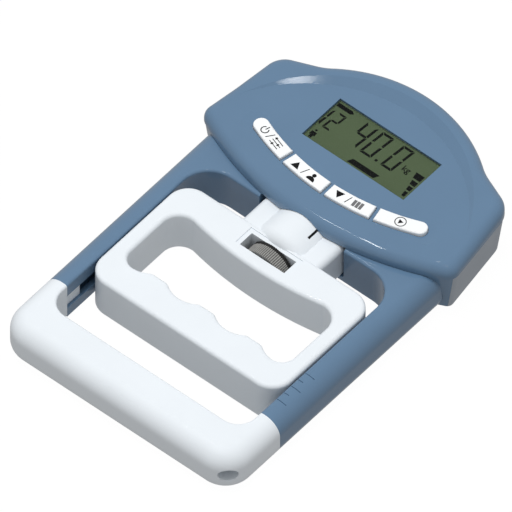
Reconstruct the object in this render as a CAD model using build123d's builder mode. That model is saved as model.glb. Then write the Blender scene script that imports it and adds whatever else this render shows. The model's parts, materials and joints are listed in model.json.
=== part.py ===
"""Electronic hand dynamometer: a head with display and load cell, a U-shaped frame with an
outer palm grip, and a finger handle that a knurled wheel sets nearer to or further from the grip.

Millimetres, +Z up, +Y towards the head. The origin is the centre of the footprint, on the
surface that the instrument rests on.
"""

import math
import os

from build123d import *

os.makedirs("parts", exist_ok=True)

# ---- driving dimensions ------------------------------------------------------------------
head_rear_y = 95.0  # furthest point of the head's arch
grip_front_y = -95.0  # front of the outer grip
frame_h = 19.0  # frame, arms and outer grip
arm_inner_x = 49.2
arm_outer_x = 59.2
arm_round = (6.0, 7.5)  # rounding of the outer side of arms and grip, below and above
arm_wall = 2.2
edge_round = 1.2

grip_joint_y = -64.5  # where the grip meets the arms
grip_inner_y = -76.2
grip_corner_r = 12.5
grip_inner_r = 8.5
tongue_len = 8.9
opening_rear_y = 18.3  # front wall of the head
opening_corner_r = 13.0
channel_end_y = 4.0
slot_z = (5.0, 12.4)
tongue_recess = 1.2

head_split_y = 35.0  # frame in front of it, rear case behind it
floor_t = 2.0
case_wall = 2.2
case_draft_inset = 2.7
parting = 0.3

cover_z = frame_h + parting
face_z = 25.0
roof_t = 2.0
roof_z = face_z - roof_t
rim_start_y = 50.7
rim_slope = 0.0625
disc_y = 20.5
disc_r = 63.8
cover_round = 4.6

axis_z = 10.6  # pull axis: wheel, screw, nut and load cell
bulge_r = 16.6
bulge_centre_z = 6.4

handle_z = 0.4
handle_top = 19.8
handle_half_x = 48.45
handle_front_y = -54.6
handle_rear_y = 5.7
handle_corner_r = 9.5
handle_edge = 1.7
finger_half_x = 41.5
finger_rear_y = -7.85
finger_bow = 3.35
finger_crest_y = -38.4
finger_valley_y = -41.2
finger_pitch = 24.0
finger_lobe_r = 13.0
neck_half_x = 20.0
neck_z = 2.5
neck_tail_z = 4.5
neck_flat_z = 18.8
neck_low_z = 16.2
neck_step_y = 20.5
neck_rear_y = 29.0
pocket = (11.3, -5.45, 1.85)  # half width, front y, rear y
cover_plate_t = 2.0

wheel_r = 10.4
wheel_y = (-5.15, 1.25)
wheel_teeth = 74
wheel_groove_r = 0.27
screw_r = 2.5
screw_y = (-8.9, 28.0)
nut_r = 4.1
nut_y = (13.2, 38.5)
run_clear = 0.05
screw_clear = 0.2  # round screw shanks that pass through
thread_clear = 0.02  # round screw threads
cut_over = 20.0  # how far a cut runs past the edge that it opens

key_centre_y = 140.2
key_r = (103.1, 109.5)
key_span = 24.0  # degrees from the centre line to the outer end of the row
key_gap = 1.9
key_end_round = 3.1
key_top = 26.4
key_names = ("key_power", "key_up", "key_down", "key_start")

lcd_centre = (0.0, 60.65)
lcd_size = (51.4, 22.9)
lcd_z = (22.0, 24.0)
window_z = (24.0, 24.9)
window_corner_r = 0.4
window_chamfer = 0.2
window_rim = 0.5
window_gap = 0.2
pcb_z = (17.0, 18.6)
pcb_y = (31.0, 77.0)
pcb_half_x = 44.0
switch_top = 20.0
key_foot_z = 20.7

cell_size = (34.0, 18.0, 8.0)
cell_y = (38.5, 56.5)
bracket_t = 2.5

battery_r = 5.25
battery_len = 44.5
battery_z = 7.65
battery_ys = (68.25, 78.95)
door_half_x = 25.5
door_rear_y = 84.8
door_t = 1.6
door_pin_y = 62.9
door_pin_z = 1.2
door_pin_r = 0.6

case_boss_points = [(52, 44), (-52, 44), (42.5, 74), (-42.5, 74)]
frame_boss_points = [(43, 29.5), (-43, 29.5)]
pcb_boss_points = [(38.5, 34.3), (-38.5, 34.3), (36, 63), (-36, 63)]
boss_r = 3.2
boss_split_z = 12.0
boss_gap = 0.2
bracket_screw_points = [(24.2, 31.2), (-24.2, 31.2), (30.6, 31.2), (-30.6, 31.2)]
grip_screw_points = [(52.6, -61), (-52.6, -61)]
handle_screw_points = [(42.5, -49), (-42.5, -49), (42.5, -1.5), (-42.5, -1.5)]

corner_dir = (math.sqrt(0.5), -math.sqrt(0.5))
corner_centre = (arm_outer_x - grip_corner_r, grip_front_y + grip_corner_r)
strap_slot_z = 9.8
strap_slot = (4.2, 3.1)
strap_hole_r = 2.5
strap_depth = 9.5
strap_start = 3.0  # how far outside the corner the slot's cut begins
strap_hole_point = tuple(
    corner_centre[i] + (grip_corner_r - strap_depth) * corner_dir[i] for i in range(2)
)
strap_plane = Plane(
    origin=(
        corner_centre[0] + (grip_corner_r + strap_start) * corner_dir[0],
        corner_centre[1] + (grip_corner_r + strap_start) * corner_dir[1],
        strap_slot_z,
    ),
    x_dir=(corner_dir[0], -corner_dir[1], 0),
    z_dir=(corner_dir[0], corner_dir[1], 0),
)


def save(builder, name):
    """Label a finished piece and write it as its own STEP file."""
    builder.part.label = name
    export_step(builder.part, f"parts/{name}.step")


def studs(points, foot_z, radius, height, mode=Mode.ADD):
    """Upright cylinders of one size that stand at one height on the plan points."""
    with Locations(*[(x, y, foot_z) for x, y in points]):
        Cylinder(radius, height, align=(Align.CENTER, Align.CENTER, Align.MIN), mode=mode)


def cross_recess(points, foot_z, span, width, depth):
    """Recess for a cross-head driver in the underside of screw heads at the plan points."""
    with Locations(*[(x, y, foot_z) for x, y in points]):
        for size in ((span, width), (width, span)):
            Box(*size, depth, align=(Align.CENTER, Align.CENTER, Align.MIN), mode=Mode.SUBTRACT)


# ---- shared outlines ---------------------------------------------------------------------
def head_outline(inset=0.0):
    """Plan of the head: arch at the rear, hollow shoulders, sides that splay to the front."""
    arch_r = 65.5
    arch_y = head_rear_y - arch_r
    front_r = 137.0
    front_y = 17.9 + front_r
    shoulder = (58.6, 73.8)
    front_x = 64.3
    front_end = (front_x, front_y - math.sqrt(front_r**2 - front_x**2))
    join_x = 40.6
    join_round = 26.0
    shoulder_round = 10.0
    front_round = 5.5
    join = (join_x, arch_y + math.sqrt(arch_r**2 - join_x**2))
    with BuildSketch() as outline:
        with BuildLine():
            ThreePointArc((-join[0], join[1]), (0, head_rear_y), join)
            Polyline(join, shoulder, front_end)
            ThreePointArc(front_end, (0, front_y - front_r), (-front_end[0], front_end[1]))
            Polyline((-front_end[0], front_end[1]), (-shoulder[0], shoulder[1]), (-join[0], join[1]))
        make_face()
        corners = outline.vertices()
        fillet([v for v in corners if abs(v.Y - join[1]) < 0.01], join_round)
        fillet([v for v in outline.vertices() if abs(v.Y - shoulder[1]) < 0.01], shoulder_round)
        fillet([v for v in outline.vertices() if abs(v.Y - front_end[1]) < 0.01], front_round)
        if inset > 0:
            offset(amount=-inset)
    return outline.sketch


def head_lower_block(inset=0.0):
    """Solid of the head below the cover, narrower at the foot than at the top."""
    foot = case_draft_inset + inset
    draft = math.degrees(math.atan2(case_draft_inset - parting, frame_h))
    with BuildPart() as block:
        with BuildSketch(Plane.XY):
            add(head_outline(foot))
        extrude(amount=frame_h, taper=-draft)
    return block.part


def arm_profile(inset=0.0):
    """Cross-section of one arm in X and Z: flat towards the handle, round outside."""
    with BuildSketch() as profile:
        with Locations(((arm_inner_x + arm_outer_x) / 2, frame_h / 2)):
            Rectangle(arm_outer_x - arm_inner_x - 2 * inset, frame_h - 2 * inset)
        for level, radius in ((0, arm_round[0]), (-1, arm_round[1])):
            outer_corner = profile.vertices().group_by(Axis.Y)[level].sort_by(Axis.X)[-1]
            fillet(outer_corner, radius - inset)
    return profile.sketch


def handle_outline(inset=0.0):
    """Plan of the finger handle's outside."""
    depth = handle_rear_y - handle_front_y
    with BuildSketch() as plan:
        with Locations((0, (handle_rear_y + handle_front_y) / 2)):
            RectangleRounded(2 * handle_half_x, depth, handle_corner_r)
        if inset > 0:
            offset(amount=-inset)
    return plan.sketch


def finger_opening(outset=0.0):
    """Plan of the finger opening: four finger hollows in front, a bowed edge at the rear."""
    depth = finger_rear_y - finger_crest_y
    bow_half = 33.0
    rear_round = 8.0
    crest_round = 3.2
    end_round = 6.0
    bow_r = (bow_half**2 + finger_bow**2) / (2 * finger_bow)
    with BuildSketch() as plan:
        with Locations((0, finger_crest_y + depth / 2)):
            Rectangle(2 * finger_half_x, depth)
        rear = [v for v in plan.vertices() if v.Y > finger_rear_y - 0.1]
        fillet(rear, rear_round)
        lobes = [((k - 1.5) * finger_pitch, finger_valley_y + finger_lobe_r) for k in range(4)]
        with Locations(*lobes):
            Circle(finger_lobe_r)
        with Locations((0, finger_rear_y - finger_bow + bow_r)):
            Circle(bow_r, mode=Mode.SUBTRACT)
        with Locations((0, finger_crest_y)):
            Rectangle(2 * finger_half_x, 8 * finger_lobe_r, mode=Mode.INTERSECT)
        crests = [v for v in plan.vertices() if abs(v.Y - finger_crest_y) < 0.05]
        fillet([v for v in crests if abs(v.X) < finger_half_x - 2], crest_round)
        ends = [v for v in plan.vertices() if v.Y < finger_crest_y and abs(v.X) > finger_half_x - 0.1]
        fillet(ends, end_round)
        if outset > 0:
            offset(amount=outset)
    return plan.sketch


def key_outline(index, clearance=0.0):
    """Plan of one key: a quarter of a curved strip, its outer end rounded in the end keys."""
    mid_r = (key_r[0] + key_r[1]) / 2
    half_gap = math.degrees(key_gap / 2 / mid_r)
    share = key_span / 2
    start = -key_span + index * share + (half_gap if index else 0)
    end = -key_span + (index + 1) * share - (half_gap if index < 3 else 0)
    with BuildSketch() as plan:
        with BuildLine():
            centre = (0, key_centre_y)
            far = CenterArc(centre, key_r[0], start - 90, end - start)
            near = CenterArc(centre, key_r[1], start - 90, end - start)
            Line(far @ 0, near @ 0)
            Line(far @ 1, near @ 1)
        make_face()
        side = (index == 3) - (index == 0)
        by_x = plan.vertices().sort_by(Axis.X)
        if side < 0:
            fillet(by_x[0:2], key_end_round)
        if side > 0:
            fillet(by_x[-2:], key_end_round)
        if clearance > 0:
            offset(amount=clearance)
    return plan.sketch


def key_middle(index):
    """Centre of one key in plan."""
    angle = math.radians(-key_span + (index + 0.5) * key_span / 2)
    radius = (key_r[0] + key_r[1]) / 2
    return (radius * math.sin(angle), key_centre_y - radius * math.cos(angle))


key_points = [key_middle(index) for index in range(4)]

# ---- frame: two channel arms and the front part of the head --------------------------------
mark_pitch = 4.26
mark_middle_y = -46.6
mark_x = 49.9
mark_lengths = (4.6, 2.4)
mark_width = 0.4
mark_depth = 0.35
mark_cut_h = 8.0
corner_block_y = (-1.7, 28.3)
aperture_half_x = 21.5
aperture_y = (15.3, 27.3)
aperture_round = 2.0
case_screw_head = (2.6, 2.0)  # radius, height
case_screw_shank = (1.25, 19.0)
case_screw_recess = (3.2, 0.7, 0.8)  # span, width, depth
case_screw_z = 1.2
case_counterbore = (2.8, 3.2)
case_screw_hole_r = 1.7
bracket_screw_head = (2.8, 1.0)
bracket_screw_shank = (1.5, 3.7)
bracket_screw_recess = (3.2, 0.7, 0.6)
bracket_screw_z = 0.2
bracket_counterbore = (2.9, 1.3)
grip_screw_head = (1.5, 0.7)
grip_screw_shank = (0.85, 9.0)
grip_screw_recess = (1.9, 0.45, 0.4)
grip_screw_z = 1.0
grip_screw_hole_z = 11.0
grip_counterbore = (1.6, 1.7)

with BuildPart() as frame:
    add(head_lower_block())
    split(bisect_by=Plane.XZ.offset(-head_split_y), keep=Keep.TOP)
    with BuildSketch(Plane.XZ.offset(-grip_joint_y)):
        add(arm_profile())
        mirror(about=Plane.YZ)
    extrude(amount=grip_joint_y - (head_split_y - 2))
    with BuildSketch(Plane.XY):
        with Locations((0, sum(corner_block_y) / 2)):
            Rectangle(2 * arm_inner_x, corner_block_y[1] - corner_block_y[0])
    extrude(amount=frame_h)
    with BuildSketch(Plane.XY) as opening:
        opening_depth = opening_rear_y - grip_joint_y + cut_over
        with Locations((0, opening_rear_y - opening_depth / 2)):
            Rectangle(2 * arm_inner_x, opening_depth)
        fillet(opening.vertices().group_by(Axis.Y)[-1], opening_corner_r)
    extrude(amount=frame_h, mode=Mode.SUBTRACT)
    rim = frame.edges().group_by(Axis.Z)[-1].filter_by(
        lambda e: abs(e.center().X) < arm_inner_x + 0.1 and e.center().Y < opening_rear_y + 0.1
        and e.length > 1
    )
    fillet(rim, edge_round)
    # hollow of the head, its front aperture for the neck, and the two arm channels
    with BuildSketch(Plane.XY.offset(floor_t)):
        add(head_outline(case_draft_inset + case_wall))
    extrude(amount=frame_h, mode=Mode.SUBTRACT)
    with BuildSketch(Plane.XZ.offset(-aperture_y[0])) as aperture:
        with Locations((0, floor_t + frame_h / 2)):
            Rectangle(2 * aperture_half_x, frame_h)
        fillet(aperture.vertices().group_by(Axis.Y)[0], aperture_round)
    extrude(amount=aperture_y[0] - aperture_y[1], mode=Mode.SUBTRACT)
    with BuildSketch(Plane.XZ.offset(-grip_joint_y + 1)):
        add(arm_profile(arm_wall))
        with Locations((arm_inner_x + arm_wall / 2, sum(slot_z) / 2)):
            Rectangle(arm_wall + 1, slot_z[1] - slot_z[0])
        mirror(about=Plane.YZ)
    extrude(amount=-(channel_end_y - grip_joint_y + 1), mode=Mode.SUBTRACT)
    # five engraved setting marks on the right arm, long and short in turn
    for index in range(5):
        mark_y = mark_middle_y + (index - 2) * mark_pitch
        mark_len = mark_lengths[index % 2]
        with BuildSketch(Plane.XZ.offset(-mark_y)):
            add(arm_profile())
            with Locations((mark_x + mark_len / 2, frame_h)):
                Rectangle(mark_len, mark_cut_h, mode=Mode.INTERSECT)
            add(arm_profile(mark_depth), mode=Mode.SUBTRACT)
        extrude(amount=mark_width, mode=Mode.SUBTRACT)
    # bosses for the cover screws, and countersunk holes for the bracket and grip screws
    with BuildSketch(Plane.XY.offset(floor_t)):
        with Locations(*frame_boss_points):
            Circle(boss_r)
    extrude(amount=boss_split_z - floor_t)
    studs(frame_boss_points, boss_split_z, boss_r + boss_gap, frame_h, Mode.SUBTRACT)
    studs(frame_boss_points, 0, *case_counterbore, Mode.SUBTRACT)
    studs(frame_boss_points, 0, case_screw_hole_r, frame_h, Mode.SUBTRACT)
    studs(bracket_screw_points, 0, bracket_screw_shank[0] + screw_clear, 2 * floor_t, Mode.SUBTRACT)
    studs(bracket_screw_points, 0, *bracket_counterbore, Mode.SUBTRACT)
    studs(grip_screw_points, 0, grip_screw_shank[0] + screw_clear, 2 * floor_t, Mode.SUBTRACT)
    studs(grip_screw_points, 0, *grip_counterbore, Mode.SUBTRACT)
save(frame, "frame")

# ---- outer grip: U-shaped palm bar with two tongues that fill the ends of the channels ------
tongue_clear = 0.1
tongue_step = 1.4
tongue_overlap = 0.2

with BuildPart() as outer_grip:
    with BuildSketch(Plane.XY) as grip_plan:
        depth = grip_joint_y - grip_front_y
        with Locations((0, grip_front_y + depth / 2)):
            Rectangle(2 * arm_outer_x, depth)
        fillet(grip_plan.vertices().group_by(Axis.Y)[0], grip_corner_r)
    extrude(amount=frame_h)
    skirt = outer_grip.edges().filter_by(Plane.XY).filter_by(
        lambda e: e.center().Y < grip_joint_y - 0.1
    )
    fillet(skirt.group_by(Axis.Z)[0], arm_round[0])
    skirt = outer_grip.edges().filter_by(Plane.XY).filter_by(
        lambda e: e.center().Y < grip_joint_y - 0.1 and e.center().Z > frame_h - 0.1
    )
    fillet(skirt, arm_round[1])
    with BuildSketch(Plane.XY) as palm_gap:
        gap_depth = grip_joint_y - grip_inner_y + cut_over
        with Locations((0, grip_inner_y + gap_depth / 2)):
            Rectangle(2 * arm_inner_x, gap_depth)
        fillet(palm_gap.vertices().group_by(Axis.Y)[0], grip_inner_r)
    extrude(amount=frame_h, mode=Mode.SUBTRACT)
    inner_edges = outer_grip.edges().filter_by(Plane.XY).filter_by(
        lambda e: abs(e.center().X) < arm_inner_x + 0.1
        and grip_inner_y - 0.1 < e.center().Y < grip_joint_y - 0.1
    )
    fillet(inner_edges, edge_round)
    # tongues
    with BuildSketch(Plane.XZ.offset(-grip_joint_y)):
        add(arm_profile(arm_wall + tongue_clear))
        mirror(about=Plane.YZ)
    extrude(amount=-(tongue_len - tongue_step))
    with BuildSketch(Plane.XZ.offset(-grip_joint_y)):
        nub_x = arm_inner_x + (arm_wall + tongue_recess) / 2 + tongue_overlap
        nub_w = arm_wall - tongue_recess + 2 * tongue_overlap
        with Locations((nub_x, sum(slot_z) / 2)):
            Rectangle(nub_w, slot_z[1] - slot_z[0] - 2 * tongue_clear)
        mirror(about=Plane.YZ)
    extrude(amount=-tongue_len)
    studs(grip_screw_points, 0, grip_screw_shank[0] + thread_clear, grip_screw_hole_z, Mode.SUBTRACT)
    # strap eye through the corner: a slot from the side that meets a hole from below
    with BuildSketch(strap_plane):
        Ellipse(*strap_slot)
    extrude(amount=-(strap_start + strap_depth + strap_hole_r / 2), mode=Mode.SUBTRACT)
    studs([strap_hole_point], 0, strap_hole_r, strap_slot_z, Mode.SUBTRACT)
save(outer_grip, "outer_grip")

with BuildPart() as grip_screws:
    studs(grip_screw_points, grip_screw_z, *grip_screw_head)
    studs(grip_screw_points, grip_screw_z, *grip_screw_shank)
    cross_recess(grip_screw_points, grip_screw_z, *grip_screw_recess)
save(grip_screws, "grip_screws")

# ---- head cover: domed rim, sunk display disc, openings for keys and display ----------------
arch_clear = 0.4
arch_y = (10.0, 29.6)
dimple_points = [(43, 41.7), (-43, 41.7)]
dimple_r = 5.8
dimple_depth = 0.4
key_clear = 0.25
lcd_clear = 0.3
cover_block_h = 12.0
above_z = 50.0
above_y = 110.0
rim_blend_r = 90.0
disc_step = (10.0, 5.0)  # outward run and rise of the slope round the disc
case_pilot_r = 1.27
case_pilot_len = 9.0
pcb_boss_r = 2.2
pcb_pilot_r = 0.92
pcb_pilot_len = 3.6

with BuildPart() as head_cover:
    with BuildSketch(Plane.XY.offset(cover_z)):
        add(head_outline())
    extrude(amount=cover_block_h)
    # rear half of the top rises towards the arch, blended into the flat front half
    with BuildSketch(Plane.YZ) as above:
        with BuildLine():
            Polyline(
                (0, above_z),
                (0, face_z),
                (rim_start_y, face_z),
                (above_y, face_z + (above_y - rim_start_y) * rim_slope),
                (above_y, above_z),
                close=True,
            )
        make_face()
        fillet([v for v in above.vertices() if abs(v.X - rim_start_y) < 0.1], rim_blend_r)
    extrude(amount=above_y, both=True, mode=Mode.SUBTRACT)
    top_loop = head_cover.faces().filter_by(lambda f: f.normal_at().Z > 0.9).edges()
    side_loop = head_cover.faces().filter_by(lambda f: abs(f.normal_at().Z) < 0.1).edges()
    fillet([e for e in top_loop if e in side_loop], cover_round)
    # display disc, sunk into the rising rim with a sloping step
    with Locations((0, disc_y, face_z)):
        Cone(
            disc_r, disc_r + disc_step[0], disc_step[1],
            align=(Align.CENTER, Align.CENTER, Align.MIN), mode=Mode.SUBTRACT,
        )
    with BuildSketch(Plane.XY.offset(cover_z)):
        add(head_outline(case_wall))
    extrude(amount=roof_z - cover_z, mode=Mode.SUBTRACT)
    # tunnel over the handle's round bulge
    with BuildSketch(Plane.XZ.offset(-arch_y[0])):
        with Locations((0, bulge_centre_z)):
            Circle(bulge_r + arch_clear)
    extrude(amount=arch_y[0] - arch_y[1], mode=Mode.SUBTRACT)
    # display and key openings, finger dimples round the ends of the key row
    with BuildSketch(Plane.XY.offset(cover_z)):
        with Locations(lcd_centre):
            Rectangle(lcd_size[0] + lcd_clear, lcd_size[1] + lcd_clear)
        for index in range(4):
            add(key_outline(index, key_clear))
    extrude(amount=cover_block_h, mode=Mode.SUBTRACT)
    dimple_ball = (dimple_r**2 + dimple_depth**2) / (2 * dimple_depth)
    with Locations(*[(x, y, face_z - dimple_depth + dimple_ball) for x, y in dimple_points]):
        Sphere(dimple_ball, mode=Mode.SUBTRACT)
    # screw bosses under the roof
    with BuildSketch(Plane.XY.offset(boss_split_z + boss_gap)):
        with Locations(*case_boss_points, *frame_boss_points):
            Circle(boss_r)
    extrude(amount=roof_z - boss_split_z)
    with BuildSketch(Plane.XY.offset(boss_split_z)):
        with Locations(*case_boss_points, *frame_boss_points):
            Circle(case_pilot_r)
    extrude(amount=case_pilot_len, mode=Mode.SUBTRACT)
    with BuildSketch(Plane.XY.offset(pcb_z[1])):
        with Locations(*pcb_boss_points):
            Circle(pcb_boss_r)
    extrude(amount=roof_z - pcb_z[1])
    with BuildSketch(Plane.XY.offset(pcb_z[1])):
        with Locations(*pcb_boss_points):
            Circle(pcb_pilot_r)
    extrude(amount=pcb_pilot_len, mode=Mode.SUBTRACT)
save(head_cover, "head_cover")

# ---- rear case: grey lower shell with the battery bay ---------------------------------------
bay_half_x = 27.3
bay_y = (61.2, 86.2)
bay_top = 14.6
bay_wall = 1.3
bay_wall_y = 1.1
bay_roof_t = 1.2
bay_sink = 1.0  # overlap of the bay's walls with the floor
split_gap = 0.05
door_groove_clear = 0.3
door_hole_end = 0.3  # from the bay's outside to the blind ends of the pin holes
door_pin_end = 0.5

with BuildPart() as rear_case:
    add(head_lower_block())
    split(bisect_by=Plane.XZ.offset(-head_split_y - split_gap), keep=Keep.BOTTOM)
    with BuildSketch(Plane.XY.offset(floor_t)):
        add(head_outline(case_draft_inset + case_wall))
    extrude(amount=frame_h, mode=Mode.SUBTRACT)
    with BuildSketch(Plane.XY.offset(floor_t)):
        with Locations(*case_boss_points):
            Circle(boss_r)
    extrude(amount=boss_split_z - floor_t)
    studs(case_boss_points, boss_split_z, boss_r + boss_gap, frame_h, Mode.SUBTRACT)
    studs(case_boss_points, 0, *case_counterbore, Mode.SUBTRACT)
    studs(case_boss_points, 0, case_screw_hole_r, frame_h, Mode.SUBTRACT)
    with BuildSketch(Plane.XY.offset(floor_t - bay_sink)):
        with Locations((0, sum(bay_y) / 2)):
            Rectangle(2 * bay_half_x, bay_y[1] - bay_y[0])
    extrude(amount=bay_top - floor_t + bay_sink)
    with BuildSketch(Plane.XY):
        with Locations((0, sum(bay_y) / 2)):
            Rectangle(2 * (bay_half_x - bay_wall), bay_y[1] - bay_y[0] - 2 * bay_wall_y)
    extrude(amount=bay_top - bay_roof_t, mode=Mode.SUBTRACT)
    with BuildSketch(Plane.YZ):
        with Locations((door_pin_y, door_pin_z)):
            Circle(door_t / 2 + door_groove_clear)
    extrude(amount=bay_half_x - bay_wall, both=True, mode=Mode.SUBTRACT)
    with BuildSketch(Plane.YZ):
        with Locations((door_pin_y, door_pin_z)):
            Circle(door_pin_r + run_clear)
    extrude(amount=bay_half_x - door_hole_end, both=True, mode=Mode.SUBTRACT)
save(rear_case, "rear_case")

for name, points in (("case_screws", case_boss_points), ("frame_screws", frame_boss_points)):
    with BuildPart() as screws:
        studs(points, case_screw_z, *case_screw_head)
        studs(points, case_screw_z, *case_screw_shank)
        cross_recess(points, case_screw_z, *case_screw_recess)
    save(screws, name)

# ---- battery door: plate that turns on two pins at its front edge ---------------------------
door_round = 1.0
groove_count = 5
groove_start = 4.0
groove_pitch = 1.6
groove_size = (12.0, 0.6)
groove_depth = 0.3

with BuildPart() as battery_door:
    with BuildSketch(Plane.YZ):
        with Locations(((door_pin_y + door_rear_y) / 2, door_pin_z)):
            Rectangle(door_rear_y - door_pin_y, door_t)
        with Locations((door_pin_y, door_pin_z)):
            Circle(door_t / 2)
    extrude(amount=door_half_x, both=True)
    fillet(battery_door.edges().filter_by(Axis.Z).group_by(Axis.Y)[-1], door_round)
    with BuildSketch(Plane.YZ):
        with Locations((door_pin_y, door_pin_z)):
            Circle(door_pin_r)
    extrude(amount=bay_half_x - door_pin_end, both=True)
    with BuildSketch(Plane.XY.offset(door_pin_z - door_t / 2)):
        rows = [door_rear_y - groove_start - groove_pitch * row for row in range(groove_count)]
        with Locations(*[(0, y) for y in rows]):
            Rectangle(*groove_size)
    extrude(amount=groove_depth, mode=Mode.SUBTRACT)
save(battery_door, "battery_door")

# ---- batteries, contact plates and springs --------------------------------------------------
battery_x = (-20.2, 24.3)
battery_button = (1.9, 1.2)  # radius, height
contact_x = 25.4
contact_size = (20.5, 9.0)
contact_round = 1.0
contact_t = 0.4
spring_turns = 4
spring_start = 0.7
spring_pitch = 1.25
spring_top_r = 2.2
spring_growth = 0.35
spring_wire_r = 0.35

for index, battery_y in enumerate(battery_ys):
    turn = 1 - 2 * index
    with BuildPart() as battery:
        with BuildSketch(Plane.YZ.offset(turn * battery_x[0])):
            with Locations((battery_y, battery_z)):
                Circle(battery_r)
        extrude(amount=turn * (battery_len - battery_button[1]))
        with BuildSketch(Plane.YZ.offset(turn * (battery_x[1] - battery_button[1]))):
            with Locations((battery_y, battery_z)):
                Circle(battery_button[0])
        extrude(amount=turn * battery_button[1])
    save(battery, f"battery_{index + 1}")

with BuildPart() as battery_contacts:
    for side in (-1, 1):
        with BuildSketch(Plane.YZ.offset(side * contact_x)):
            with Locations((sum(bay_y) / 2, battery_z)):
                RectangleRounded(*contact_size, contact_round)
        extrude(amount=side * contact_t)
save(battery_contacts, "battery_contacts")

with BuildPart() as battery_springs:
    for index, battery_y in enumerate(battery_ys):
        turn = 1 - 2 * index
        for ring in range(spring_turns):
            ring_x = turn * (battery_x[0] - spring_start - ring * spring_pitch)
            with Locations(Location((ring_x, battery_y, battery_z), (0, 90, 0))):
                Torus(spring_top_r + spring_growth * ring, spring_wire_r)
save(battery_springs, "battery_springs")

# ---- display: window, liquid-crystal panel, holder and contact strips ------------------------
with BuildPart() as lcd_window:
    with BuildSketch(Plane.XY.offset(window_z[0])):
        with Locations(lcd_centre):
            RectangleRounded(*lcd_size, window_corner_r)
    extrude(amount=window_z[1] - window_z[0])
    chamfer(lcd_window.faces().sort_by(Axis.Z)[-1].edges(), window_chamfer)
    # air gap over the panel, inside a rim that stands on it
    with BuildSketch(Plane.XY.offset(window_z[0])):
        with Locations(lcd_centre):
            Rectangle(lcd_size[0] - 2 * window_rim, lcd_size[1] - 2 * window_rim)
    extrude(amount=window_gap, mode=Mode.SUBTRACT)
save(lcd_window, "lcd_window")

with BuildPart() as lcd_panel:
    with BuildSketch(Plane.XY.offset(lcd_z[0])):
        with Locations(lcd_centre):
            Rectangle(*lcd_size)
    extrude(amount=lcd_z[1] - lcd_z[0])
save(lcd_panel, "lcd_panel")

holder_size = (58.0, 29.0)
holder_opening = (48.0, 14.0)
holder_clear = 0.2
strip_offset = 9.2
strip_size = (45.0, 2.4)

with BuildPart() as lcd_holder:
    with BuildSketch(Plane.XY.offset(pcb_z[1])):
        with Locations(lcd_centre):
            Rectangle(*holder_size)
            Rectangle(*holder_opening, mode=Mode.SUBTRACT)
        with Locations(*[(0, lcd_centre[1] + side * strip_offset) for side in (-1, 1)]):
            Rectangle(strip_size[0] + holder_clear, strip_size[1] + holder_clear, mode=Mode.SUBTRACT)
    extrude(amount=lcd_z[0] - pcb_z[1])
    with BuildSketch(Plane.XY.offset(lcd_z[0])):
        with Locations(lcd_centre):
            Rectangle(*holder_size)
            Rectangle(lcd_size[0] + holder_clear, lcd_size[1] + holder_clear, mode=Mode.SUBTRACT)
    extrude(amount=roof_z - lcd_z[0])
save(lcd_holder, "lcd_holder")

with BuildPart() as zebra_strips:
    with BuildSketch(Plane.XY.offset(pcb_z[1])):
        with Locations(*[(0, lcd_centre[1] + side * strip_offset) for side in (-1, 1)]):
            Rectangle(*strip_size)
    extrude(amount=lcd_z[0] - pcb_z[1])
save(zebra_strips, "zebra_strips")

# ---- circuit board and what is on it ---------------------------------------------------------
pcb_chamfer = 12.0
pcb_boss_clear = 0.4
pcb_hole_r = 1.1
pcb_screw_head = (1.9, 1.2)
pcb_screw_shank = (0.9, 5.0)
controller_point = (30.0, 52.0)
amplifier_point = (27.0, 38.0)
chip_t = 1.5
passive_point = (-27.0, 38.0)
passive_pitch = 4.0
crystal_point = (30.0, 43.5)
surface_part_h = 0.9
buzzer_point = (-30.0, 52.0)
buzzer_can = (6.0, 2.6)  # radius, height
buzzer_vent = (1.0, 0.8)
switch_width = 6.0
switch_floor_t = 0.2
switch_bore_r = 1.3

with BuildPart() as main_pcb:
    with BuildSketch(Plane.XY.offset(pcb_z[0])) as board:
        with Locations((0, (pcb_y[0] + pcb_y[1]) / 2)):
            Rectangle(2 * pcb_half_x, pcb_y[1] - pcb_y[0])
        chamfer(board.vertices().group_by(Axis.Y)[-1], pcb_chamfer)
        with Locations(*frame_boss_points):
            Circle(boss_r + pcb_boss_clear, mode=Mode.SUBTRACT)
        with Locations(*pcb_boss_points):
            Circle(pcb_hole_r, mode=Mode.SUBTRACT)
    extrude(amount=pcb_z[1] - pcb_z[0])
save(main_pcb, "main_pcb")

with BuildPart() as pcb_screws:
    with Locations(*[(x, y, pcb_z[0]) for x, y in pcb_boss_points]):
        Cylinder(*pcb_screw_head, align=(Align.CENTER, Align.CENTER, Align.MAX))
        Cylinder(*pcb_screw_shank, align=(Align.CENTER, Align.CENTER, Align.MIN))
save(pcb_screws, "pcb_screws")

with BuildPart() as microcontroller:
    with BuildSketch(Plane.XY.offset(pcb_z[0])):
        with Locations(controller_point):
            Rectangle(10, 10)
    extrude(amount=-chip_t)
save(microcontroller, "microcontroller")

with BuildPart() as amplifier_chip:
    with BuildSketch(Plane.XY.offset(pcb_z[0])):
        with Locations(amplifier_point):
            Rectangle(5, 6)
    extrude(amount=-chip_t)
save(amplifier_chip, "amplifier_chip")

with BuildPart() as surface_parts:
    with BuildSketch(Plane.XY.offset(pcb_z[0])):
        with Locations(passive_point):
            with GridLocations(passive_pitch, passive_pitch, 3, 3):
                Rectangle(2, 1.2)
        with Locations(crystal_point):
            Rectangle(4, 2)
    extrude(amount=-surface_part_h)
save(surface_parts, "surface_parts")

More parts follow.
